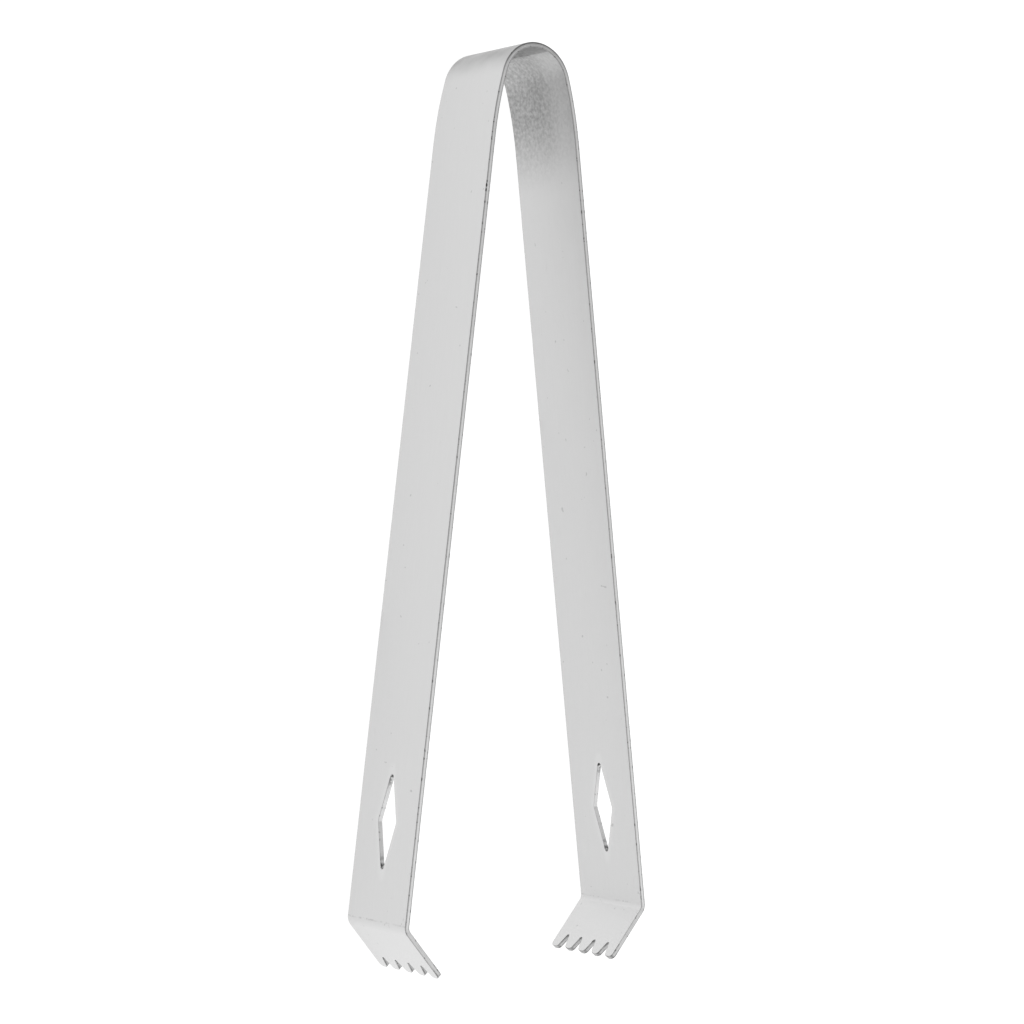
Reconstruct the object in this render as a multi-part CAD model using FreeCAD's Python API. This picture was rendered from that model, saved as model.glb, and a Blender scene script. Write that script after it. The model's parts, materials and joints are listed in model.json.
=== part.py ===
"""Bar ice tongs: one springy stainless strip, folded into a narrow bow with two toothed jaws.

The tongs lie on the long edges of their strip. X runs across them, +Y towards the bow and +Z up.
The origin is at the middle of the footprint, on the plane that the edges rest on.
Lengths are in millimetres and angles in degrees.
"""
import FreeCAD
import Part
import math
import os

V = FreeCAD.Vector
UP = V(0, 0, 1)

# The whole object
overall_length = 178.0
strip_width = 19.05
strip_thickness = 0.95

# The bow: a tight crown, then a long soft shoulder on each side, both measured on the middle line
crown_radius = 7.85
shoulder_radius = 80.0
shoulder_turn = 9.35
arm_lean = 7.05

# The jaws: a sharp inward bend, then a flat plate that ends in a row of teeth
jaw_bend_angle = 47.6
jaw_bend_radius = 1.9
jaw_length = 12.2
tooth_count = 5
tooth_tip_radius = 0.95
edge_to_first_notch = 3.25
notch_depth = 3.0
notch_angle = 34.0
notch_root_radius = 0.32
full_round_share = 0.96

# The diamond hole of each arm: a long rhombus, measured between its corners before they are rounded
diamond_length = 20.2
diamond_width = 5.8
diamond_end_radius = 0.45
diamond_side_radius = 1.0
diamond_above_bend = 19.5

# Where the strip flexes, and the hair line between two stiff lengths there
upper_arm_length = 36.0
flex_gap = 0.1

half_thickness = strip_thickness / 2
crest_y = overall_length / 2 - half_thickness


def heading(angle):
    """The strip's direction after it has turned by an angle from straight across, for the right side."""
    turn = math.radians(angle)
    return V(math.cos(turn), -math.sin(turn), 0)


def outward(angle):
    """The direction square to the strip that points out of the bow."""
    turn = math.radians(angle)
    return V(math.sin(turn), math.cos(turn), 0)


class Arc:
    """A stretch of the middle line that turns evenly towards the inside."""

    def __init__(self, start, angle, turn, radius):
        self.angle = angle
        self.turn = turn
        self.radius = radius
        self.centre = start - outward(angle) * radius
        self.length = radius * math.radians(turn)

    def angle_at(self, distance):
        return self.angle + self.turn * distance / self.length

    def point(self, distance, offset):
        return self.centre + outward(self.angle_at(distance)) * (self.radius + offset)


class Line:
    """A straight stretch of the middle line."""

    def __init__(self, start, angle, length):
        self.start = start
        self.angle = angle
        self.length = length

    def angle_at(self, distance):
        return self.angle

    def point(self, distance, offset):
        return self.start + heading(self.angle) * distance + outward(self.angle) * offset


def end_of(stretch):
    return stretch.point(stretch.length, 0)


def make_path():
    """The middle line of one side, from the crest to the tooth tips, as five stretches end to end."""
    arm_angle = 90 - arm_lean
    jaw_angle = arm_angle + jaw_bend_angle
    crown_half_angle = arm_angle - shoulder_turn
    bend_setback = jaw_bend_radius * math.tan(math.radians(jaw_bend_angle / 2))
    crown = Arc(V(0, crest_y, 0), 0, crown_half_angle, crown_radius)
    shoulder = Arc(end_of(crown), crown_half_angle, shoulder_turn, shoulder_radius)
    # The teeth's outer corners are the lowest points, so the arm is as long as they leave room for.
    drop_of_jaw = heading(jaw_angle) * jaw_length + outward(jaw_angle) * half_thickness
    corner_y = -overall_length / 2 - drop_of_jaw.y
    to_corner = (end_of(shoulder).y - corner_y) / math.cos(math.radians(arm_lean))
    arm = Line(end_of(shoulder), arm_angle, to_corner - bend_setback)
    bend = Arc(end_of(arm), arm_angle, jaw_bend_angle, jaw_bend_radius)
    plate = Line(end_of(bend), jaw_angle, jaw_length - bend_setback)
    return [crown, shoulder, arm, bend, plate]


path = make_path()
crown, shoulder, arm, bend, plate = path
crown_end = crown.length
shoulder_end = crown_end + shoulder.length
upper_arm_end = shoulder_end + upper_arm_length
bend_start = shoulder_end + arm.length
bend_end = bend_start + bend.length


def on_side(point, side):
    """A point of the right side (side = 1), or its mirror image on the left (side = -1)."""
    return V(side * point.x, point.y, point.z)


def edge_through(points):
    """A straight edge through two points, or an arc through three."""
    if len(points) == 2:
        return Part.LineSegment(*points).toShape()
    return Part.Arc(*points).toShape()


def strip(start, end, side):
    """The strip between two distances from the crest, standing on its edge at its full width."""
    outer = []
    inner = []
    walked = 0
    for stretch in path:
        first = max(start - walked, 0)
        last = min(end - walked, stretch.length)
        if last > first:
            stops = [first, last] if isinstance(stretch, Line) else [first, (first + last) / 2, last]
            outer.append([on_side(stretch.point(stop, half_thickness), side) for stop in stops])
            inner.append([on_side(stretch.point(stop, -half_thickness), side) for stop in stops])
        walked += stretch.length
    edges = [edge_through(points) for points in outer]
    edges.append(Part.LineSegment(outer[-1][-1], inner[-1][-1]).toShape())
    edges += [edge_through(points[::-1]) for points in inner[::-1]]
    edges.append(Part.LineSegment(inner[0][0], outer[0][0]).toShape())
    return Part.Face(Part.Wire(edges)).extrude(UP * strip_width)


def rounded_face(corners):
    """A flat face from a list of corners, each a point and the radius that rounds it."""
    joins = []
    for index, (corner, radius) in enumerate(corners):
        before = (corners[index - 1][0] - corner).normalize()
        after = (corners[(index + 1) % len(corners)][0] - corner).normalize()
        half_turn = before.getAngle(after) / 2
        setback = radius / math.tan(half_turn)
        to_middle = radius / math.sin(half_turn) - radius
        middle = corner + (before + after).normalize() * to_middle
        joins.append([corner + before * setback, middle, corner + after * setback, radius])
    edges = []
    for index, (first, middle, last, radius) in enumerate(joins):
        if radius > 0:
            edges.append(Part.Arc(first, middle, last).toShape())
        edges.append(Part.LineSegment(last, joins[(index + 1) % len(joins)][0]).toShape())
    return Part.Face(Part.Wire(edges))


def diamond_cutter(side):
    """The punch of the diamond hole, square through the arm and centred across its width."""
    corner_distance = arm.length + jaw_bend_radius * math.tan(math.radians(jaw_bend_angle / 2))
    centre = arm.point(corner_distance - diamond_above_bend, -strip_thickness) + UP * (strip_width / 2)
    along = on_side(heading(arm.angle), side)
    middle = on_side(centre, side)
    corners = [
        (middle - along * (diamond_length / 2), diamond_end_radius),
        (middle + UP * (diamond_width / 2), diamond_side_radius),
        (middle + along * (diamond_length / 2), diamond_end_radius),
        (middle - UP * (diamond_width / 2), diamond_side_radius),
    ]
    through = on_side(outward(arm.angle), side) * (2 * strip_thickness)
    return rounded_face(corners).extrude(through)


def toothed_plate(side):
    """The flat end of a jaw, with V notches that leave a row of blunt teeth."""
    half_angle = math.radians(notch_angle / 2)
    apex_depth = notch_depth + notch_root_radius * (1 / math.sin(half_angle) - 1)
    half_mouth = apex_depth * math.tan(half_angle)
    notch_count = tooth_count - 1
    tooth_pitch = (strip_width - 2 * edge_to_first_notch) / (notch_count - 1)
    # A tip is rounded as asked, or fully round where its tooth is too narrow for that.
    inner_tip_width = tooth_pitch - 2 * half_mouth
    outer_tip_width = edge_to_first_notch - half_mouth
    flank_setback = math.tan(math.pi / 4 - half_angle / 2)
    widest_round = min(inner_tip_width / (2 * flank_setback), outer_tip_width / (1 + flank_setback))
    tip_radius = min(tooth_tip_radius, full_round_share * widest_round)
    along = on_side(heading(plate.angle), side)
    root = on_side(plate.point(0, -half_thickness), side)

    def at(distance, height):
        return root + along * distance + UP * height

    corners = [(at(0, 0), 0), (at(plate.length, 0), tip_radius)]
    for notch in range(notch_count):
        height = edge_to_first_notch + notch * tooth_pitch
        corners.append((at(plate.length, height - half_mouth), tip_radius))
        corners.append((at(plate.length - apex_depth, height), notch_root_radius))
        corners.append((at(plate.length, height + half_mouth), tip_radius))
    corners += [(at(plate.length, strip_width), tip_radius), (at(0, strip_width), 0)]
    through = on_side(outward(plate.angle), side) * strip_thickness
    return rounded_face(corners).extrude(through)


def make_bow_crown():
    """The tight round of the bow, across both sides up to the first flexing line of each."""
    reach = crown_end - flex_gap / 2
    turn = crown.angle_at(reach)
    points = []
    for offset in (half_thickness, -half_thickness):
        right_end = crown.point(reach, offset)
        points.append([on_side(right_end, -1), crown.point(0, offset), right_end])
    outer, inner = points
    edges = [
        edge_through(outer),
        Part.LineSegment(outer[-1], inner[-1]).toShape(),
        edge_through(inner[::-1]),
        Part.LineSegment(inner[0], outer[0]).toShape(),
    ]
    print("bow crown turns", round(2 * turn, 2), "degrees")
    return Part.Face(Part.Wire(edges)).extrude(UP * strip_width)


def make_shoulder(side):
    """The soft curve between the crown and the straight arm."""
    return strip(crown_end + flex_gap / 2, shoulder_end - flex_gap / 2, side)


def make_upper_arm(side):
    """The straight part of the arm that is pinched between finger and thumb."""
    return strip(shoulder_end + flex_gap / 2, upper_arm_end - flex_gap / 2, side)


def make_lower_arm(side):
    """The rest of the straight arm, down to the jaw's bend, with the diamond hole."""
    return strip(upper_arm_end + flex_gap / 2, bend_start, side).cut(diamond_cutter(side))


def make_jaw(side):
    """The inward bend and the toothed plate beyond it."""
    return strip(bend_start, bend_end, side).fuse(toothed_plate(side)).removeSplitter()


def only_solid(shape):
    return shape.Solids[0] if len(shape.Solids) == 1 else shape


def main():
    os.makedirs("parts", exist_ok=True)
    nodes = {"bow_crown": make_bow_crown()}
    for name, side in (("left", -1), ("right", 1)):
        nodes[name + "_shoulder"] = make_shoulder(side)
        nodes[name + "_upper_arm"] = make_upper_arm(side)
        nodes[name + "_lower_arm"] = make_lower_arm(side)
        nodes[name + "_jaw"] = make_jaw(side)
    for name, shape in nodes.items():
        only_solid(shape).exportStep("parts/" + name + ".step")
        print(name, "volume", round(shape.Volume, 2), "valid", shape.isValid(), "solids", len(shape.Solids))
    hinges = [end_of(crown), end_of(shoulder), arm.point(upper_arm_length, 0)]
    for name, hinge in zip(("shoulder", "upper arm", "lower arm"), hinges):
        print(name, "flexes about x", round(hinge.x, 3), "y", round(hinge.y, 3))


main()
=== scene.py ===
# %% [markdown]
# # Bar ice tongs from one strip of stainless sheet
#
# The real tongs are a single strip: stamped flat, with a diamond hole and a comb of teeth at each end,
# then folded into a narrow bow. Nothing is screwed, riveted or glued on.
#
# The packed model is loaded first and stays fixed. It says how long the tongs are and where the strip
# flexes, and every new surface below is worked out from those places, so nothing is fitted by eye.

# %% Load the packed model
import json
import math
import bmesh
import bpy
import numpy as np
from mathutils import Matrix, Vector


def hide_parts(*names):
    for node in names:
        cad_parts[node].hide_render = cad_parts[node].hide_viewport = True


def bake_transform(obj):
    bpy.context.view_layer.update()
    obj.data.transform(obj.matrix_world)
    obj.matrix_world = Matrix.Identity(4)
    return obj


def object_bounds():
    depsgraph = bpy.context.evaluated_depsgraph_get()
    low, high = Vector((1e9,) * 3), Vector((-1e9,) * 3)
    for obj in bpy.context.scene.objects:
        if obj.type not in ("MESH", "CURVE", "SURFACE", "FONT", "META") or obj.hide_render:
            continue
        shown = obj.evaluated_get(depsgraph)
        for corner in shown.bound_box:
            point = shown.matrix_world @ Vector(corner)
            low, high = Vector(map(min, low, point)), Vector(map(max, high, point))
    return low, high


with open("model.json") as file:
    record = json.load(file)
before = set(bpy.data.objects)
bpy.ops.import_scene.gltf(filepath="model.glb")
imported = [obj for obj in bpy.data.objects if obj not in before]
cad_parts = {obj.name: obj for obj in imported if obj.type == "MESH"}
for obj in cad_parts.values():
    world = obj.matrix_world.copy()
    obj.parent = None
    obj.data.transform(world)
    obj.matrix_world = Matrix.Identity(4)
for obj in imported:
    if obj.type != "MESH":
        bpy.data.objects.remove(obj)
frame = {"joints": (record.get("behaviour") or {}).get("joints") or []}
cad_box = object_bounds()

MM = 0.001
lowest, highest = (np.array(corner) for corner in cad_box)
overall = highest - lowest
print("overall size in mm", np.round(overall / MM, 2))

# %% [markdown]
# ## The camera
#
# A small object is usually pictured from a step back with a long lens, which keeps its arms from
# spreading. The camera stands over the left arm and looks down across the tongs. Its position is worked
# out from an aim, a distance and two angles, because those can be changed one at a time.
# The image's up is along the tongs, towards the bow, so the usual track-to rule (world Z up) isn't used:
# the three axes of the camera are computed from the line of sight and that direction.

# %% Set the camera
aim = Vector((2.27, -1.28, overall[2] / 2 / MM)) * MM
stand_back = 536.1 * MM
azimuth, elevation, roll = (math.radians(angle) for angle in (-89.32, 52.62, -0.51))

sideways = math.cos(elevation)
towards_camera = Vector((math.sin(azimuth) * sideways, -math.cos(azimuth) * sideways, math.sin(elevation)))
level_right = Vector((0, 1, 0)).cross(towards_camera).normalized()
level_up = towards_camera.cross(level_right)
camera_up = level_up * math.cos(roll) + level_right * math.sin(roll)
camera_right = camera_up.cross(towards_camera)

camera_data = bpy.data.cameras.new("camera")
camera_data.sensor_width = 36
camera_data.lens = 96.56
camera_data.clip_start = 0.01
camera = bpy.data.objects.new("camera", camera_data)
turned = Matrix((camera_right, camera_up, towards_camera)).transposed().to_4x4()
camera.matrix_world = Matrix.Translation(aim + towards_camera * stand_back) @ turned
bpy.context.scene.collection.objects.link(camera)
bpy.context.scene.camera = camera
print("camera at", [round(value, 4) for value in camera.location])

# %% [markdown]
# ## The strip's middle line
#
# Seen from above, half of the strip is a crown that turns tightly, a shoulder that turns softly, a
# straight arm, a sharp bend and the short plate of the jaw. It could be drawn as a curve by hand. Here
# it is five exact stretches end to end, because then a point at any distance along the strip, and the
# direction square to the strip there, come from one formula.
#
# The model gives three places where the strip flexes: the ends of the crown and of the shoulder, and a
# point on the arm. An arc that starts straight across and passes through the first one is fully known,
# and so is the arc from there to the second one, because it ends in line with the arm.

# %% Work out the five stretches
thickness = 0.95 * MM
jaw_turn = math.radians(47.6)
jaw_bend_radius = 1.9 * MM
jaw_length = 12.2 * MM

hinge = {joint["name"]: np.array(joint["pos_m"])[:2] for joint in frame["joints"]}
crest = np.array([0, highest[1] - thickness / 2])
crown_end = hinge["right_shoulder_flex"]
shoulder_end = hinge["right_upper_arm_flex"]
arm_place = hinge["right_lower_arm_flex"]


def slope_down(start, end):
    """How far the line from start to end has turned down from straight across."""
    step = end - start
    return math.atan2(-step[1], step[0])


arm_angle = slope_down(shoulder_end, arm_place)
crown_turn = 2 * slope_down(crest, crown_end)
crown_radius = math.dist(crest, crown_end) / (2 * math.sin(crown_turn / 2))
shoulder_turn = arm_angle - crown_turn
shoulder_radius = math.dist(crown_end, shoulder_end) / (2 * math.sin(shoulder_turn / 2))
jaw_angle = arm_angle + jaw_turn
setback = jaw_bend_radius * math.tan(jaw_turn / 2)
jaw_drop = math.sin(jaw_angle) * jaw_length - math.cos(jaw_angle) * thickness / 2
corner_y = lowest[1] + jaw_drop
arm_length = (shoulder_end[1] - corner_y) / math.sin(arm_angle) - setback

turns = np.array([crown_turn, shoulder_turn, 0, jaw_turn, 0])
lengths = np.array([
    crown_radius * crown_turn,
    shoulder_radius * shoulder_turn,
    arm_length,
    jaw_bend_radius * jaw_turn,
    jaw_length - setback,
])
reach = np.concatenate([[0], np.cumsum(lengths)])
bend_start, bend_end, tip = reach[3:]
print("stretches in mm", np.round(lengths / MM, 2), "turning", np.round(np.degrees(turns), 2))

# %% [markdown]
# ## From the flat strip to the bent one
#
# The real strip is stamped flat and bent afterwards, so the surfaces are made the same way. A point of
# the flat strip has a distance along it, a height across its width and a depth through its thickness.
# Bending leaves the height alone and lays the distance along the middle line.
#
# The middle line is the running sum of its direction. On an arc that sum is exact: the radius times the
# change of the sine and cosine of the angle. On a straight stretch it is the length times the direction.

# %% Bend flat points along the middle line
starts = [crest]
angles = np.concatenate([[0], np.cumsum(turns)])


def advance(distance, angle, turn, length):
    """The step from a stretch's start: chord formula on an arc, plain product on a straight run."""
    if turn == 0:
        return np.stack([distance * math.cos(angle), -distance * math.sin(angle)], -1)
    radius = length / turn
    now = angle + distance / radius
    return radius * np.stack([np.sin(now) - math.sin(angle), np.cos(now) - math.cos(angle)], -1)


for index in range(len(turns)):
    step = advance(lengths[index], angles[index], turns[index], lengths[index])
    starts.append(starts[-1] + step)


def bend(points, side):
    """Flat (along, height, depth) points to the bent strip: middle line plus depth times its normal."""
    along, height, depth = points[..., 0], points[..., 1], points[..., 2]
    angle = np.interp(along, reach, angles)
    normal = np.stack([np.sin(angle), np.cos(angle)], -1)
    middle = np.zeros(along.shape + (2,))
    for index in range(len(turns)):
        here = (along >= reach[index]) if index else np.ones(along.shape, bool)
        gone = np.clip(along - reach[index], 0, lengths[index])
        place = starts[index] + advance(gone, angles[index], turns[index], lengths[index])
        middle = np.where(here[..., None], place, middle)
    flat_xy = middle + normal * depth[..., None]
    return np.stack([side * flat_xy[..., 0], flat_xy[..., 1], height], -1)


def bend_directions(points, directions, side):
    """Turns flat (along, height, depth) directions into the bent strip's directions at the same points."""
    angle = np.interp(points[..., 0], reach, angles)
    run, rise, out = directions[..., 0], directions[..., 1], directions[..., 2]
    x = run * np.cos(angle) + out * np.sin(angle)
    y = -run * np.sin(angle) + out * np.cos(angle)
    return np.stack([side * x, y, rise], -1)


print("jaw's tip at", np.round(starts[-1] / MM, 2), "mm; arms lean", round(90 - math.degrees(arm_angle), 2))

# %% [markdown]
# ## The outline of the stamping
#
# The punch leaves a diamond hole, a rhombus with rounded corners. It could be cut out with a Boolean
# modifier, but that leaves thin slivers along the edge. Here the faces are laid round it from the start,
# so its half width is needed at any distance along the strip: a circle near a corner and a straight line
# elsewhere.
#
# The edges get their own rounded profile later, so the flat faces stop a little short of the outline.
# Pulling a rounded shape back by some amount keeps every centre and only changes the radii, so the same
# formulas give the inset outline.

# %% Give the hole's half width
width = overall[2]
inset = 0.13 * MM
hole_half_length = 20.2 * MM / 2
hole_half_width = 5.8 * MM / 2
hole_end_radius = 0.45 * MM
hole_side_radius = 1.0 * MM
hole_middle = bend_start + setback - 19.5 * MM

hole_taper = math.atan2(hole_half_width, hole_half_length)
end_centre = hole_half_length - hole_end_radius / math.sin(hole_taper)
side_centre = hole_half_width - hole_side_radius / math.cos(hole_taper)
grown_end = hole_end_radius + inset
grown_side = hole_side_radius + inset
hole_reach = end_centre + grown_end


def hole_half(along):
    """Half of the hole's inset width by distance from its middle: end circle, flank, side circle."""
    far = np.abs(along - hole_middle)
    flank = hole_half_width + inset / math.cos(hole_taper) - far * math.tan(hole_taper)
    end = np.sqrt(np.clip(grown_end**2 - (far - end_centre) ** 2, 0, None))
    side = side_centre + np.sqrt(np.clip(grown_side**2 - far**2, 0, None))
    on_end = far > end_centre + grown_end * math.sin(hole_taper)
    on_side = far < grown_side * math.sin(hole_taper)
    half = np.where(on_end, end, np.where(on_side, side, flank))
    return np.where(far < hole_reach, half, 0)


print("hole", round(2 * (hole_reach - inset) / MM, 2), "mm long")

# %% [markdown]
# ## The teeth
#
# The jaws grip wet ice with five blunt teeth, stamped like a comb. Each notch between them is a V with a
# round root, and each tooth ends in an almost full round. They are given by depth, the distance behind
# the tooth tips, in the same way as the hole: circles near the corners and straight flanks between.

# %% Give the notches' half width and the teeth's rounding
tooth_count = 5
tip_radius = 0.95 * MM
edge_to_notch = 3.25 * MM
notch_depth = 3.0 * MM
notch_half_angle = math.radians(17)
root_radius = 0.32 * MM

notches = np.linspace(edge_to_notch, width - edge_to_notch, tooth_count - 1)
root_centre = notch_depth - root_radius
grown_root = root_radius + inset
notch_reach = root_centre + grown_root
small_tip = tip_radius - inset


def notch_half(depth):
    """Half of a notch's inset width at a depth behind the tooth tips: straight flank, then root circle."""
    apex = root_centre + grown_root / math.sin(notch_half_angle)
    flank = (apex - depth) * math.tan(notch_half_angle)
    root = np.sqrt(np.clip(grown_root**2 - (depth - root_centre) ** 2, 0, None))
    return np.where(depth > root_centre + grown_root * math.sin(notch_half_angle), root, flank)


def tip_rounding(depth, centre):
    """The height that a tooth's corner circle, about the given centre height, reaches at a depth."""
    return centre - np.sqrt(np.clip(small_tip**2 - (tip_radius - depth) ** 2, 0, None))


print("notches at", np.round(notches / MM, 2), "mm across the strip")

# %% [markdown]
# ## Rows of the flat faces
#
# A face is a grid: rows at chosen distances along the strip, columns across it. Rows are spaced evenly
# on plain metal, closer where the strip is bent, and by equal angles round the small circles, where even
# spacing would leave visible corners.

# %% Place the rows
bow_row = 0.13 * MM
arm_row = 0.25 * MM
bend_row = 0.08 * MM
hole_flank_row = 0.35 * MM
hole_side_row = 0.12 * MM
tooth_flank_row = 0.3 * MM
corner_steps = 7


def even(start, end, spacing):
    """Distances from start to end, both included, about a spacing apart."""
    return np.linspace(start, end, max(2, int(round((end - start) / spacing)) + 1))


def round_end(centre, radius, first, last):
    """Distances centre + radius x cosine, for angles in equal steps."""
    return centre + radius * np.cos(np.radians(np.linspace(first, last, corner_steps + 1)))


def hole_rows():
    """Distances through the hole: round end, flank, blunt side, flank and round end."""
    end = round_end(end_centre, grown_end, 0, 90 - math.degrees(hole_taper))
    blunt = grown_side * math.sin(hole_taper)
    flank = even(end[-1], blunt, hole_flank_row)
    half = np.concatenate([end[:-1], flank])
    across = even(blunt, -blunt, hole_side_row)[1:-1]
    return hole_middle - np.concatenate([half, across, -half[::-1]])


def tooth_rows():
    """Depths from the notch roots to the tips: root circle, flank, tip circle."""
    root = round_end(root_centre, grown_root, 0, 90 - math.degrees(notch_half_angle))
    round_tip = tip_radius - small_tip * np.sin(np.radians(np.linspace(0, 90, 2 * corner_steps)))
    flank = even(root[-1], round_tip[0], tooth_flank_row)
    return np.concatenate([root[:-1], flank[:-1], round_tip])


print("rows through the hole", len(hole_rows()), "and through the teeth", len(tooth_rows()))

# %% [markdown]
# ## Columns of the flat faces
#
# Where the strip has a hole or teeth, the columns are squeezed into the bands that are left: two beside
# the hole, five at the teeth. Between the hole and the teeth they drift from the first layout to the
# second, with a smooth start and stop so that no face is twisted.

# %% Place the columns
half_columns = 20
tooth_columns = 2 * half_columns // tooth_count


def edge_columns(along):
    """Heights of all columns on unholed metal: even halves, drifting to the teeth's five bands."""
    count = 2 * half_columns
    halves = np.linspace(inset, width - inset, count + 1)
    bands = np.concatenate([[inset], notches, [width - inset]])
    teeth = np.interp(np.arange(count + 1) / tooth_columns, np.arange(tooth_count + 1), bands)
    hole_end = hole_middle + hole_reach
    share = np.clip((along - hole_end) / (tip - notch_reach - hole_end), 0, 1)
    share = share * share * (3 - 2 * share)
    return halves + (teeth - halves) * share[:, None]


def half_bands(along):
    """The lower and the upper half of the strip as two grids of heights, parted by the hole."""
    full = edge_columns(along)
    gap = hole_half(along)[:, None]
    fraction = np.linspace(0, 1, half_columns + 1)
    lower = full[:, : half_columns + 1] - gap * fraction
    upper = full[:, half_columns:] + gap * (1 - fraction)
    return lower, upper


def tooth_band(tooth, depth):
    """One tooth as a grid of heights: columns spread evenly between its two flanks at each depth."""
    bottom, top = np.full(depth.shape, inset), np.full(depth.shape, width - inset)
    apex = root_centre + root_radius / math.sin(notch_half_angle)
    to_centre = (apex - tip_radius) * math.tan(notch_half_angle) + tip_radius / math.cos(notch_half_angle)
    flank_tangent = tip_radius - small_tip * math.sin(notch_half_angle)
    bottom_centre, top_centre = tip_radius, tip_radius
    bottom_tangent, top_tangent = tip_radius, tip_radius
    if tooth > 0:
        bottom = notches[tooth - 1] + notch_half(depth)
        bottom_centre = notches[tooth - 1] + to_centre
        bottom_tangent = flank_tangent
    if tooth < tooth_count - 1:
        top = notches[tooth] - notch_half(depth)
        top_centre = width - notches[tooth] + to_centre
        top_tangent = flank_tangent
    bottom = np.where(depth < bottom_tangent, tip_rounding(depth, bottom_centre), bottom)
    top = np.where(depth < top_tangent, width - tip_rounding(depth, top_centre), top)
    fraction = np.linspace(0, 1, tooth_columns + 1)
    return bottom[:, None] + (top - bottom)[:, None] * fraction


print("columns beside the hole", 2 * half_columns, "and on each tooth", tooth_columns)

# %% [markdown]
# ## The stamped edge
#
# A punch doesn't leave a square edge. It first drags the surface down into a small round, then shears a
# smooth wall, and tears the last part, which leaves a burr that tumbling only takes the sharpness from.
# On tongs this size the whole edge is under a millimetre wide, yet it is what catches the light.
#
# A bevel would give both corners the same round. Instead the edge is a profile carried along the
# outline: a larger round on the outer face, a wall, and a tight round with a faint lip on the inner
# face. Each point of the profile has its step out from the flat face's edge, its depth, and the direction
# that the surface faces there.

# %% Describe the edge's profile
half_thickness = thickness / 2
burr_round = 0.07 * MM
burr_lip = 0.012 * MM
quarter = np.radians(np.linspace(0, 90, 6))

roll_out = inset * np.sin(quarter)
roll_depth = half_thickness - inset * (1 - np.cos(quarter))
wall_depth = np.linspace(half_thickness - inset, -half_thickness + burr_round, 5)[1:-1]
burr_out = inset - burr_round * (1 - np.cos(quarter))
burr_depth = -half_thickness + burr_round * (1 - np.sin(quarter))

profile_out = np.concatenate([roll_out, np.full(3, inset), burr_out, [0]])
lipped_depth = burr_depth - burr_lip * np.sin(quarter)
profile_depth = np.concatenate([roll_depth, wall_depth, lipped_depth, [-half_thickness]])
lean_out = np.concatenate([np.sin(quarter), np.ones(3), np.cos(quarter), [0]])
lean_depth = np.concatenate([np.cos(quarter), np.zeros(3), -np.sin(quarter), [-1]])
ring = len(profile_out)
print("edge profile has", ring, "points and stands out", round(profile_out.max() / MM, 3), "mm")

# %% [markdown]
# ## Knocks in the edge
#
# Tongs knock against each other in a drawer, which leaves small dents along their edges, and the left
# arm has taken one hard double knock. Noise could roughen the whole edge, but real dents are few and
# apart, so each one gets its own place, depth and breadth, drawn at random from a fixed seed.

# %% Draw the knocks
knock_count = 46
edge_reach = 1.5 * MM


def small_knocks(seed):
    """A side's small knocks, one a row: place along, edge's height, corner's depth, how deep, how broad."""
    rng = np.random.default_rng(seed)
    place = rng.uniform(0, tip, knock_count)
    edge = rng.integers(0, 2, knock_count) * width
    corner = rng.choice([-1.0, 1.0], knock_count) * half_thickness
    deep = rng.uniform(0.015, 0.07, knock_count) * MM
    broad = rng.uniform(0.25, 0.8, knock_count) * MM
    return np.stack([place, edge, corner, deep, broad], -1)


def dents(along, height, depth, knocks):
    """How far the knocks push the edge in: a sum of bell curves along the strip, on one corner each."""
    push = np.zeros(along.shape)
    for place, edge, corner, deep, broad in knocks:
        near = np.exp(-(((along - place) / broad) ** 2))
        same_edge = np.abs(height - edge) < edge_reach
        same_corner = np.clip(1 - np.abs(depth - corner) / thickness, 0, 1) ** 2
        push += deep * near * same_edge * same_corner
    return push


hard_knocks = np.array([
    [32.8 * MM, width, half_thickness, 0.2 * MM, 0.4 * MM],
    [33.7 * MM, width, half_thickness, 0.17 * MM, 0.3 * MM],
])
knocks_of = {-1: np.concatenate([small_knocks(10), hard_knocks]), 1: small_knocks(12)}
print("knocks on the left", len(knocks_of[-1]), "and on the right", len(knocks_of[1]))

# %% [markdown]
# ## Gathering a piece of strip
#
# A piece collects its grids in one list of points. Each grid makes the outer face and, with the depth
# reversed, the inner face. Then every run of boundary points gets the edge profile, each point moved
# along the outline's own normal, and a cut end is closed by one flat face. A knock pushes the profile in,
# most at its outermost points and not at all where it meets the flat face, so nothing comes apart.

# %% Collect points and faces
deep_knock = 0.1 * MM


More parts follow.
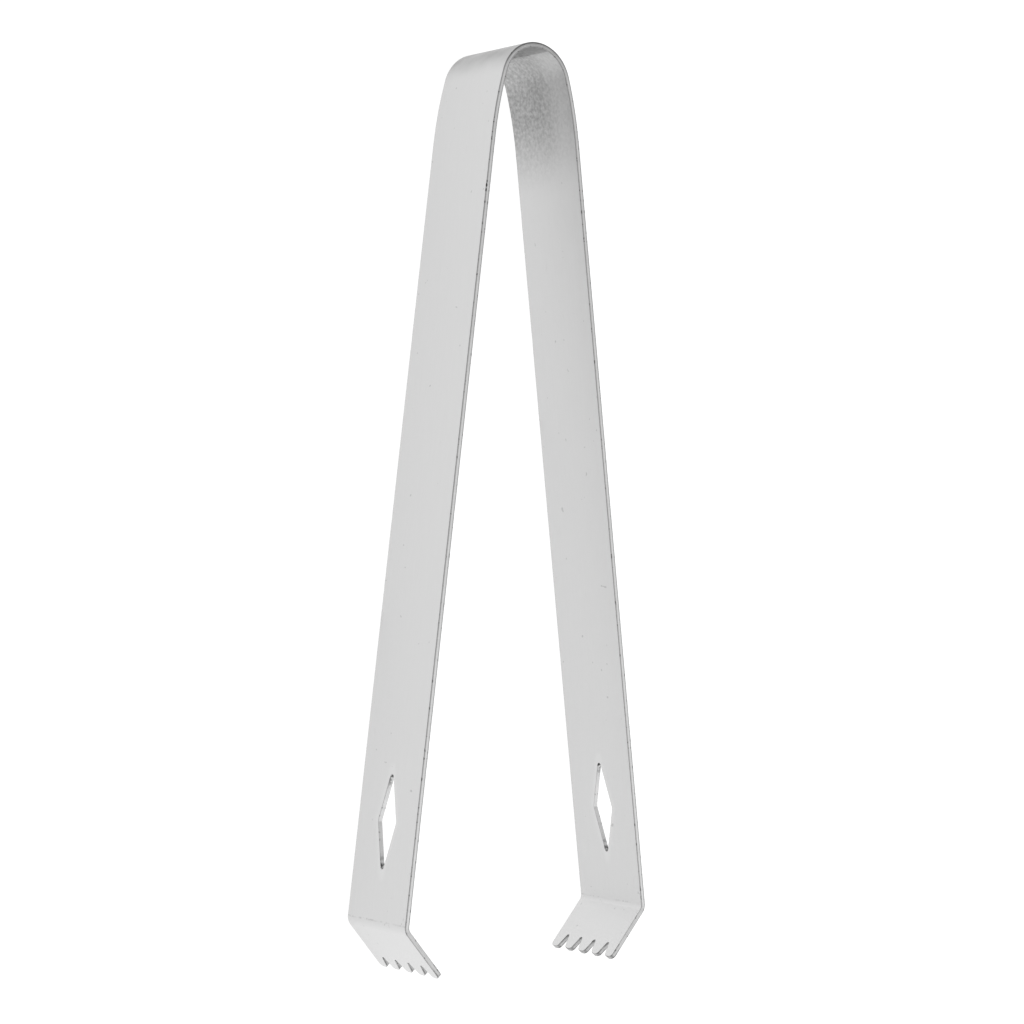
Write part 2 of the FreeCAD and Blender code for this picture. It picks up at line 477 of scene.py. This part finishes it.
class Sheet:
    """Points, normals and faces of one piece, gathered in flat (along, height, depth) coordinates."""

    def __init__(self, knocks):
        self.knocks = knocks
        self.points = []
        self.normals = []
        self.walls = []
        self.pushed = []
        self.faces = []
        self.ends = []
        self.count = 0

    def add(self, points, normals, wall=0.0, pushed=0.0, flip=False):
        """Adds a grid of points and the four-sided faces between its rows and columns."""
        rows, columns = points.shape[:2]
        corner = self.count + np.arange(rows * columns).reshape(rows, columns)
        quads = np.stack([corner[:-1, :-1], corner[1:, :-1], corner[1:, 1:], corner[:-1, 1:]], -1)
        quads = quads.reshape(-1, 4)
        self.faces.append(quads[:, ::-1] if flip else quads)
        self.points.append(points.reshape(-1, 3))
        self.normals.append(normals.reshape(-1, 3))
        self.walls.append(np.broadcast_to(wall, (rows, columns)).reshape(-1))
        self.pushed.append(np.broadcast_to(pushed, (rows, columns)).reshape(-1))
        self.count += rows * columns
        return corner

    def add_faces_of(self, along, height):
        """The outer and the inner face over one grid of heights."""
        distance = np.broadcast_to(along[:, None], height.shape)
        grids = []
        for depth in (half_thickness, -half_thickness):
            points = np.stack([distance, height, np.full(height.shape, depth)], -1)
            normals = np.zeros(points.shape)
            normals[..., 2] = math.copysign(1, depth)
            grids.append(self.add(points, normals, flip=depth < 0))
        return grids

    def add_edge(self, run, closed=False):
        """The edge profile carried along boundary points that keep the metal on their left."""
        if closed:
            run = np.concatenate([run[-1:], run, run[:2]])
        step = np.gradient(run, axis=0)
        step[0] = run[1] - run[0]
        step[-1] = run[-1] - run[-2]
        step /= np.linalg.norm(step, axis=1)[:, None]
        if closed:
            run, step = run[1:-1], step[1:-1]
        out = np.stack([step[:, 1], -step[:, 0]], -1)
        points = np.zeros((len(run), ring, 3))
        points[..., :2] = run[:, None] + out[:, None] * profile_out[:, None]
        points[..., 2] = profile_depth
        push = dents(points[..., 0], points[..., 1], points[..., 2], self.knocks) * (profile_out / inset)
        points[..., :2] -= out[:, None] * push[..., None]
        normals = np.zeros(points.shape)
        normals[..., :2] = out[:, None] * lean_out[:, None]
        normals[..., 2] = lean_depth
        return self.add(points, normals, profile_out / inset, push / deep_knock, flip=True)

    def add_end(self, outer, upper, inner, lower, last=False):
        """Closes a cut end with one flat face through the points that already go round it."""
        loop = np.concatenate([outer, upper, inner[::-1], lower[::-1]])
        self.ends.append((loop[::-1] if last else loop).tolist())


print("a sheet keeps", ", ".join(sorted(vars(Sheet(knocks_of[1])))))

# %% [markdown]
# ## A plain length and an arm
#
# Two kinds of length make up the strip. A plain one has two faces, two long edges and two cut ends. An
# arm has one cut end, and its outline runs down one edge, round every tooth and back up the other. The
# hole's rim is a loop of its own.

# %% Lay out both kinds of length
def plain_sheet(start, end, knocks):
    """A plain length of strip: two faces, two edges and a flat face at each cut end."""
    sheet = Sheet(knocks)
    along = even(start, end, bow_row)
    height = edge_columns(along)
    outer, inner = sheet.add_faces_of(along, height)
    lower = sheet.add_edge(np.stack([along, height[:, 0]], -1))
    upper = sheet.add_edge(np.stack([along, height[:, -1]], -1)[::-1])
    sheet.add_end(outer[0], upper[-1], inner[0], lower[0])
    sheet.add_end(outer[-1], upper[0], inner[-1], lower[-1], last=True)
    return sheet


def arm_sheet(start, knocks):
    """The arm from a cut end to the tooth tips: plain metal, the hole, plain metal, the bend, the teeth."""
    sheet = Sheet(knocks)
    before = even(start, hole_middle - hole_reach, arm_row)
    hole = hole_rows()
    between = even(hole_middle + hole_reach, bend_start, arm_row)
    round_bend = even(bend_start, bend_end, bend_row)
    plate = even(bend_end, tip - notch_reach, arm_row)
    along = np.concatenate([before, hole[1:], between[1:], round_bend[1:], plate[1:]])
    lower, upper = half_bands(along)
    outer_low, inner_low = sheet.add_faces_of(along, lower)
    outer_high, inner_high = sheet.add_faces_of(along, upper)

    depth = tooth_rows()
    comb = tip - depth
    outline = [np.stack([along, lower[:, 0]], -1)]
    for tooth in range(tooth_count):
        band = tooth_band(tooth, depth)
        sheet.add_faces_of(comb, band)
        outline.append(np.stack([comb, band[:, 0]], -1)[1:])
        outline.append(np.stack([np.full(tooth_columns, comb[-1]), band[-1, 1:]], -1))
        outline.append(np.stack([comb, band[:, -1]], -1)[-2::-1])
    outline.append(np.stack([along, upper[:, -1]], -1)[-2::-1])
    rim = sheet.add_edge(np.concatenate(outline))

    holed = slice(len(before) - 1, len(before) - 1 + len(hole))
    lower_rim = np.stack([along, lower[:, -1]], -1)[holed]
    upper_rim = np.stack([along, upper[:, 0]], -1)[holed]
    sheet.add_edge(np.concatenate([lower_rim[::-1], upper_rim[1:-1]]), closed=True)
    outer = np.concatenate([outer_low[0], outer_high[0, 1:]])
    inner = np.concatenate([inner_low[0], inner_high[0, 1:]])
    sheet.add_end(outer, rim[-1], inner, rim[0])
    return sheet


print("half of the crown has", plain_sheet(0, reach[1], knocks_of[1]).count, "points, some shared")

# %% [markdown]
# ## From a sheet to a Blender mesh
#
# Points that lie in the same place are joined, so each piece is one closed surface. Blender could work
# out the normals, but it would average them across the small round of the edge and make the flat faces
# look pillowed. Every point gets the exact normal of its formula instead.
#
# The flat coordinates stay with the mesh as an attribute named flat, so that the finish can follow the
# strip round its bends. A second attribute, wall, is 0 on the faces and 1 on the sheared wall, and a
# third, pushed, says how deep a knock is there.

# %% Make the meshes
same_place = 0.0001 * MM


def make_piece(name, sheet, side):
    """Bends a sheet's points, joins the ones that meet and keeps each formula's normal."""
    flat_points = np.concatenate(sheet.points)
    flat_normals = np.concatenate(sheet.normals)
    faces = np.concatenate(sheet.faces).tolist() + sheet.ends
    if side > 0:
        faces = [corners[::-1] for corners in faces]
    mesh = bpy.data.meshes.new(name)
    mesh.from_pydata(bend(flat_points, side).tolist(), [], faces)
    directions = bend_directions(flat_points, flat_normals, side)
    directions /= np.linalg.norm(directions, axis=1)[:, None]
    for label, values in (("flat", flat_points), ("facing", directions)):
        attribute = mesh.attributes.new(label, "FLOAT_VECTOR", "POINT")
        attribute.data.foreach_set("vector", values.astype(np.float32).ravel())
    for label, values in (("wall", sheet.walls), ("pushed", sheet.pushed)):
        attribute = mesh.attributes.new(label, "FLOAT", "POINT")
        attribute.data.foreach_set("value", np.concatenate(values).astype(np.float32))
    joined = bmesh.new()
    joined.from_mesh(mesh)
    bmesh.ops.remove_doubles(joined, verts=joined.verts, dist=same_place)
    bmesh.ops.dissolve_degenerate(joined, edges=joined.edges, dist=same_place / 10)
    open_edges = sum(not edge.is_manifold for edge in joined.edges)
    joined.to_mesh(mesh)
    joined.free()
    mesh.polygons.foreach_set("use_smooth", np.ones(len(mesh.polygons), bool))
    facing = np.zeros(len(mesh.vertices) * 3, np.float32)
    mesh.attributes["facing"].data.foreach_get("vector", facing)
    mesh.normals_split_custom_set_from_vertices(facing.reshape(-1, 3).tolist())
    mesh.attributes.remove(mesh.attributes["facing"])
    piece = bpy.data.objects.new(name, mesh)
    bpy.context.scene.collection.objects.link(piece)
    print(name, len(mesh.polygons), "faces,", open_edges, "open edges")
    return piece


print("points closer than", round(same_place / MM, 6), "mm are joined")

# %% [markdown]
# ## Cutting the strip where it doesn't flex
#
# The real strip bends smoothly, but the model bends at three lines on each side. A piece may bend across
# only one of them, so each side is three pieces, and they are cut between the flexing lines, where both
# neighbours move as one body.

# %% Build the six pieces
shoulder_cut = (reach[1] + reach[2]) / 2
flex_line = reach[2] + math.dist(shoulder_end, arm_place)
arm_cut = (reach[2] + flex_line) / 2
margin = 0.6 * MM
crown_stays = 1.5 * MM
below_flex = 18 * MM
pieces = []


def middle_point(along, side):
    """A point of the strip's middle line at half its width."""
    return bend(np.array([[along, width / 2, 0.0]]), side)[0]


for side, word in ((-1, "left"), (1, "right")):
    knocks = knocks_of[side]
    upper_arm = word + "_upper_arm"
    lengths_of_strip = (
        ("bow", plain_sheet(0, shoulder_cut, knocks), "bow", word + "_shoulder",
         crown_stays, shoulder_cut - margin, [word + "_shoulder"]),
        ("shoulder", plain_sheet(shoulder_cut, arm_cut, knocks), word + "_shoulder", upper_arm,
         shoulder_cut + margin, arm_cut - margin, [upper_arm]),
        ("arm", arm_sheet(arm_cut, knocks), upper_arm, word + "_arm",
         arm_cut + margin, flex_line + below_flex, [word + "_lower_arm", word + "_jaw"]),
    )
    for part, sheet, near_body, far_body, start, end, nodes in lengths_of_strip:
        piece = make_piece(word + "_" + part + "_strip", sheet, side)
        middle_point(start, side)
        middle_point(end, side)
        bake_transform(piece)
        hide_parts(*nodes)
        pieces.append(piece)
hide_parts("bow_crown")

# %% [markdown]
# ## Shader sums as plain Python
#
# A finish is mostly arithmetic on noise. Writing it as expressions keeps it readable: a small class
# wraps a socket, and each operator adds one Math node.

# %% Wrap sockets in a class
class Value:
    """A number at every point of a surface, held by a node's output socket."""

    def __init__(self, graph, socket):
        self.graph = graph
        self.socket = socket

    def __add__(self, other):
        return self.graph.math("ADD", self, other)

    def __radd__(self, other):
        return self.graph.math("ADD", other, self)

    def __sub__(self, other):
        return self.graph.math("SUBTRACT", self, other)

    def __rsub__(self, other):
        return self.graph.math("SUBTRACT", other, self)

    def __mul__(self, other):
        return self.graph.math("MULTIPLY", self, other)

    def __rmul__(self, other):
        return self.graph.math("MULTIPLY", other, self)

    def __truediv__(self, other):
        return self.graph.math("DIVIDE", self, other)

    def __abs__(self):
        return self.graph.math("ABSOLUTE", self)


class Graph:
    """The node tree of one material."""

    def __init__(self, name):
        self.material = bpy.data.materials.new(name)
        self.material.use_nodes = True
        self.tree = self.material.node_tree
        self.tree.nodes.clear()

    def node(self, kind, settings=None, inputs=None, output=0):
        """Adds a node of a type, sets its settings, then its sockets' values or links."""
        made = self.tree.nodes.new(kind)
        for key, value in (settings or {}).items():
            setattr(made, key, value)
        for key, value in (inputs or {}).items():
            socket = self.find(made, key)
            if isinstance(value, Value):
                self.tree.links.new(value.socket, socket)
            else:
                socket.default_value = value
        return Value(self, made.outputs[output]) if made.outputs else None

    def find(self, made, key):
        """A node's input by its number, its identifier or its name."""
        if isinstance(key, int):
            return made.inputs[key]
        matching = [socket for socket in made.inputs if key in (socket.identifier, socket.name)]
        return matching[0]

    def attribute(self, name, output):
        """A value stored with the mesh: output 1 is a vector, output 2 a number."""
        return self.node("ShaderNodeAttribute", {"attribute_name": name}, output=output)

    def math(self, operation, *values):
        """One Math node on values or plain numbers."""
        return self.node("ShaderNodeMath", {"operation": operation}, dict(enumerate(values)))

    def ramp(self, value, low, high):
        """0 up to low, 1 from high on, and an S-shaped rise in between."""
        inputs = {"Value": value, "From Min": low, "From Max": high}
        return self.node("ShaderNodeMapRange", {"interpolation_type": "SMOOTHSTEP"}, inputs)

    def noise(self, place, scale, detail=2.0, roughness=0.5):
        """Cloudy noise from 0 to 1 whose lumps are about one over scale wide."""
        inputs = {"Vector": place, "Scale": scale, "Detail": detail, "Roughness": roughness}
        return self.node("ShaderNodeTexNoise", {}, inputs)

    def blend_colours(self, share, first, second):
        """The first colour where share is 0, the second where it is 1."""
        inputs = {"Factor_Float": share, "A_Color": first, "B_Color": second}
        return self.node("ShaderNodeMix", {"data_type": "RGBA"}, inputs, output=2)


def grey(level):
    """A neutral colour."""
    return (level, level, level, 1.0)


print("middle grey is", grey(0.5))

# %% [markdown]
# ## The finish: tumbled satin stainless
#
# The strip is rolled sheet, stamped and tumbled in a barrel with stones. Tumbling leaves a fine, even
# satin with no grain direction to speak of. An image of such metal could be wrapped on, but it would
# repeat, and stretch at the bends. Instead each mark gets its own rule, worked out from the strip's flat
# coordinates, so the finish runs round the bends with the metal.
#
# It starts with a few noises. Reading a noise at shrunken distances draws it out: along the strip that
# gives the faint lines of rolling, and through the sheet the upright marks of the punch.

# %% Read the strip's coordinates and make the noises
steel = Graph("satin_stainless")
ramp, noise = steel.ramp, steel.noise
flat = steel.attribute("flat", output=1)
wall = steel.attribute("wall", output=2)
pushed = steel.attribute("pushed", output=2)
along, height, depth = (steel.node("ShaderNodeSeparateXYZ", {}, {0: flat}, output=n) for n in range(3))


def stretched(along_by, across_by, through_by, turn=0.0):
    """The flat coordinates scaled per direction, so that noise read there is drawn out."""
    inputs = {"Vector": flat, "Scale": (along_by, across_by, through_by), "Rotation": (0.0, 0.0, turn)}
    return steel.node("ShaderNodeMapping", {}, inputs)


clouds = noise(flat, 90, 3.0, 0.55)
patches = noise(flat, 260)
mottle = noise(flat, 1500, 3.0, 0.6)
grain = noise(flat, 3500, 2.0, 0.6)
streaks = noise(stretched(0.06, 1.0, 1.0), 2500)
shear = noise(stretched(1.0, 1.0, 0.12), 5000, 2.0, 0.6)
print("lumps in mm: clouds", round(1000 / 90), "patches", round(1000 / 260), "grain", round(1000 / 3500, 1))

# %% [markdown]
# ## Painted shade inside and over the bow
#
# Inside the narrow bow, where the two arms face each other, the colour is darkened as painted shade, with a
# blotchy skin of noise in it that is also rougher and bumpier. That fades out down the arms and, in part,
# towards the upper edge.
# Under the crown there is a darker band with a sharp limit, and the crown's outer side is darkened too, as
# painted shade.
#
# Masks that run from 0 to 1 say where each of these is. They multiply, so a mark can be inside and near
# the bow and on a face at once.

# %% Mask the painted shade and the skin in the bow
inside = ramp(depth, 0.2 * half_thickness, -0.8 * half_thickness)
face = 1 - ramp(wall, 0.0, 0.6)
near_bow = 1 - ramp(along, 15 * MM, 33 * MM)
low_half = 1 - 0.6 * ramp(height, 9 * MM, 17 * MM)
# painted shade inside the narrow bow, weaker towards the upper edge; the same mask makes the skin there
# rougher and bumpier
bow_shade_and_skin = inside * near_bow * low_half * face
# extra painted shade inside the bow, from about 13 mm past the crest on
deepest_bow_shade = ramp(along, 7 * MM, 13 * MM) * bow_shade_and_skin
under_crown = inside * (1 - ramp(along, 2.7 * MM, 3.3 * MM)) * face
# painted shade on the outside of the crown, near the crest, with patchy strength
over_crown = (1 - inside) * (1 - ramp(along, 5 * MM, 11 * MM))

# a steady painted shade inside the bow, plus a blotchy skin of noise
bow_shade_and_mottle = 0.15 * bow_shade_and_skin + 0.06 * deepest_bow_shade + 0.58 * bow_shade_and_skin * (0.5 - mottle)
# a darker band under the crown, plus the painted shade over the crown
crown_band_and_shade = 0.2 * under_crown + over_crown * (0.21 + 0.25 * (patches - 0.5))
print("nodes so far", len(steel.tree.nodes))

# %% [markdown]
# ## The sheared edges
#
# The edge is bright in its middle, where the punch burnished it, and dark along both corners, partly where
# the metal rolled over or tore and partly as painted shade and dark reflection on the small rounds. The
# jaws' edges are duller all over but their corners are softer. At the hole the press left the corners clean
# and a paler halo round the opening.
#
# The distance from the diamond is the larger of two: past its ends, and past its slanted flanks.

# %% Mark the edges and the hole
outwards = depth / half_thickness
jaw = ramp(along, bend_start, bend_end)
# dark corner lines: partly the rolled and torn metal, partly painted shade and dark reflection on the
# rounds
corner = ramp(outwards, 0.25, 0.5) + ramp(outwards, -0.35, -0.62)
corner = corner * ramp(wall, 0.1, 0.5)

past_end = abs(along - hole_middle) - hole_half_length
past_flank = abs(height - width / 2) + past_end * (hole_half_width / hole_half_length)
at_hole = ramp(steel.math("MAXIMUM", past_end, past_flank), 1.4 * MM, 0.3 * MM)

tear = abs(outwards + 0.12 + 0.25 * (clouds - 0.5))
tear_line = ramp(tear, 0.16, 0.04) * ramp(patches, 0.4, 0.6) * wall
# the sheared wall's texture, the tear line, the duller jaw edges, and the painted shade along the corners
edge_marks_and_shade = wall * (0.01 + 0.1 * shear) + corner * (0.24 - 0.22 * at_hole - 0.18 * jaw)
edge_marks_and_shade = edge_marks_and_shade + 0.12 * tear_line + 0.13 * jaw * wall
print("nodes so far", len(steel.tree.nodes))

# %% [markdown]
# ## Wear, dirt and shade in the knocks
#
# Use leaves small nicks along the corners, pits and hair scratches on the faces, and dirt wherever a
# cloth doesn't reach: at the ends of the holes and between the teeth. The knocks in the edge are darkened
# as painted shade. The sharp bend at the jaw has a broken crease and a few more pits.
#
# Each is a noise cut off high, so that only its rare peaks show. A second, slower noise thins some of
# them out, because real wear comes in patches.

# %% Mark the wear and the dirt
nicks = ramp(noise(stretched(1.0, 1.0, 0.5), 1400, 1.0), 0.63, 0.71) * corner
# painted shade in the knocks: darker where a knock pushed the edge in
knocks = ramp(pushed, 0.5, 1.0)
pits = ramp(noise(flat, 700, 1.0), 0.76, 0.8) * face
near_bend = ramp(abs(along - bend_start), 6 * MM, 1 * MM)
bend_pits = ramp(noise(flat, 1000, 1.0), 0.72, 0.78) * near_bend * face
hair_lines = noise(stretched(0.05, 1.0, 1.0, turn=0.35), 2600, 1.0)
scratches = ramp(hair_lines, 0.73, 0.78) * ramp(patches, 0.58, 0.66) * face

radians_across = 400
wave = steel.math("SINE", height * (radians_across / width))
crease_place = bend_start + 0.15 * MM * wave * (patches - 0.5)
crease = ramp(abs(along - crease_place), 0.22 * MM, 0.05 * MM)
crease = crease * ramp(mottle, 0.4, 0.62) * ramp(patches, 0.4, 0.55) * face

hole_tips = ramp(past_end, -4.5 * MM, -1.2 * MM) * at_hole * wall
teeth = ramp(along, tip - notch_depth - 0.6 * MM, tip - notch_depth)
dirt = ramp(noise(flat, 1100), 0.4, 0.56) * (0.55 * hole_tips + 0.16 * teeth * corner)

# real wear marks, plus the painted shade in the knocks
wear_and_dent_shade = 0.2 * nicks + 0.5 * knocks + 0.14 * pits + 0.12 * bend_pits + 0.05 * scratches
print("nodes so far", len(steel.tree.nodes))

# %% [markdown]
# ## Adding up the finish
#
# Most marks take some light away from clean satin steel, several of them as painted shade, while the jaw
# plates' faces are painted lighter. The colour is one number plus and minus all of them, never quite black.
# Roughness follows the same masks, more weakly.
# One bump node gives the surface its grain, with the skin inside the bow deeper and the wear sunk in.

# %% Join everything in one shader
clean_steel = 0.665
# painted light: the jaw plates' faces, which turn towards the glowing floor, are lifted by 0.04
level = clean_steel + 0.015 * (clouds - 0.5) + 0.02 * (streaks - 0.5) + 0.04 * jaw * face + 0.025 * at_hole
level = level - bow_shade_and_mottle - crown_band_and_shade - edge_marks_and_shade - wear_and_dent_shade - 0.14 * crease - dirt
colour = steel.blend_colours(steel.math("MAXIMUM", level, 0.05), grey(0.0), grey(1.0))

rough = 0.5 + 0.05 * (clouds - 0.5) + 0.05 * (grain - 0.5) + 0.08 * bow_shade_and_skin - 0.06 * jaw
bumps = grain * (0.2 + 0.4 * bow_shade_and_skin) + 1.6 * mottle * bow_shade_and_skin + 0.8 * shear * wall + 6.0 * clouds
bumps = bumps - 0.8 * pits - 0.6 * scratches - 1.5 * nicks
bump = steel.node("ShaderNodeBump", {}, {"Strength": 0.5, "Distance": 0.02 * MM, "Height": bumps})
metal = steel.node("ShaderNodeBsdfPrincipled", {}, {
    "Base Color": colour,
    "Metallic": 1.0,
    "Roughness": rough,
    "Normal": bump,
})
steel.node("ShaderNodeOutputMaterial", {}, {"Surface": metal})

for piece in pieces:
    piece.data.materials.append(steel.material)
print("finish of", len(steel.tree.nodes), "nodes on", len(pieces), "pieces")

# %% [markdown]
# ## Floor and light
#
# Satin metal mostly shows what stands around it, so the light is the room. The floor glows evenly, as a
# photographer's light table does, so it has no shadows and the tongs are lit from below and beside. The
# dome above is dimmer, so the edges, which face up, look darker than the faces. One large soft lamp on
# the right lifts them a little.

# %% Light the tongs
def flat_plane(name, half_size, level):
    """A level square round the origin."""
    mesh = bpy.data.meshes.new(name)
    corners = np.array([[-1, -1, 0], [1, -1, 0], [1, 1, 0], [-1, 1, 0]]) * half_size
    corners[:, 2] = level
    mesh.from_pydata(corners.tolist(), [], [[0, 1, 2, 3]])
    plane = bpy.data.objects.new(name, mesh)
    bpy.context.scene.collection.objects.link(plane)
    return plane


floor_reach = 4.0
floor_gap = 0.05 * MM
floor = flat_plane("floor", floor_reach, lowest[2] - floor_gap)
floor_graph = Graph("white_floor")
floor_shader = floor_graph.node("ShaderNodeBsdfPrincipled", {}, {
    "Base Color": grey(0.2),
    "Roughness": 0.6,
    "Emission Color": grey(1.0),
    "Emission Strength": 0.93,
})
floor_graph.node("ShaderNodeOutputMaterial", {}, {"Surface": floor_shader})
floor.data.materials.append(floor_graph.material)

world = bpy.data.worlds.new("studio")
world.use_nodes = True
world.node_tree.nodes["Background"].inputs["Color"].default_value = grey(1.0)
world.node_tree.nodes["Background"].inputs["Strength"].default_value = 0.6
bpy.context.scene.world = world

lamp_data = bpy.data.lights.new("soft_lamp", "AREA")
lamp_data.shape = "RECTANGLE"
lamp_side = 1.2
lamp_data.size = lamp_side
lamp_data.size_y = lamp_side
lamp_data.energy = 4.3
lamp = bpy.data.objects.new("soft_lamp", lamp_data)
lamp.location = (0.55, -0.35, 0.9)
lamp.rotation_euler = (-lamp.location).to_track_quat("-Z", "Y").to_euler()
bpy.context.scene.collection.objects.link(lamp)
bpy.context.scene.view_settings.view_transform = "Standard"
print("lamp", round(lamp.location.length, 2), "m away")

# %% [markdown]
# The visible pieces have to stay inside the packed model's box.
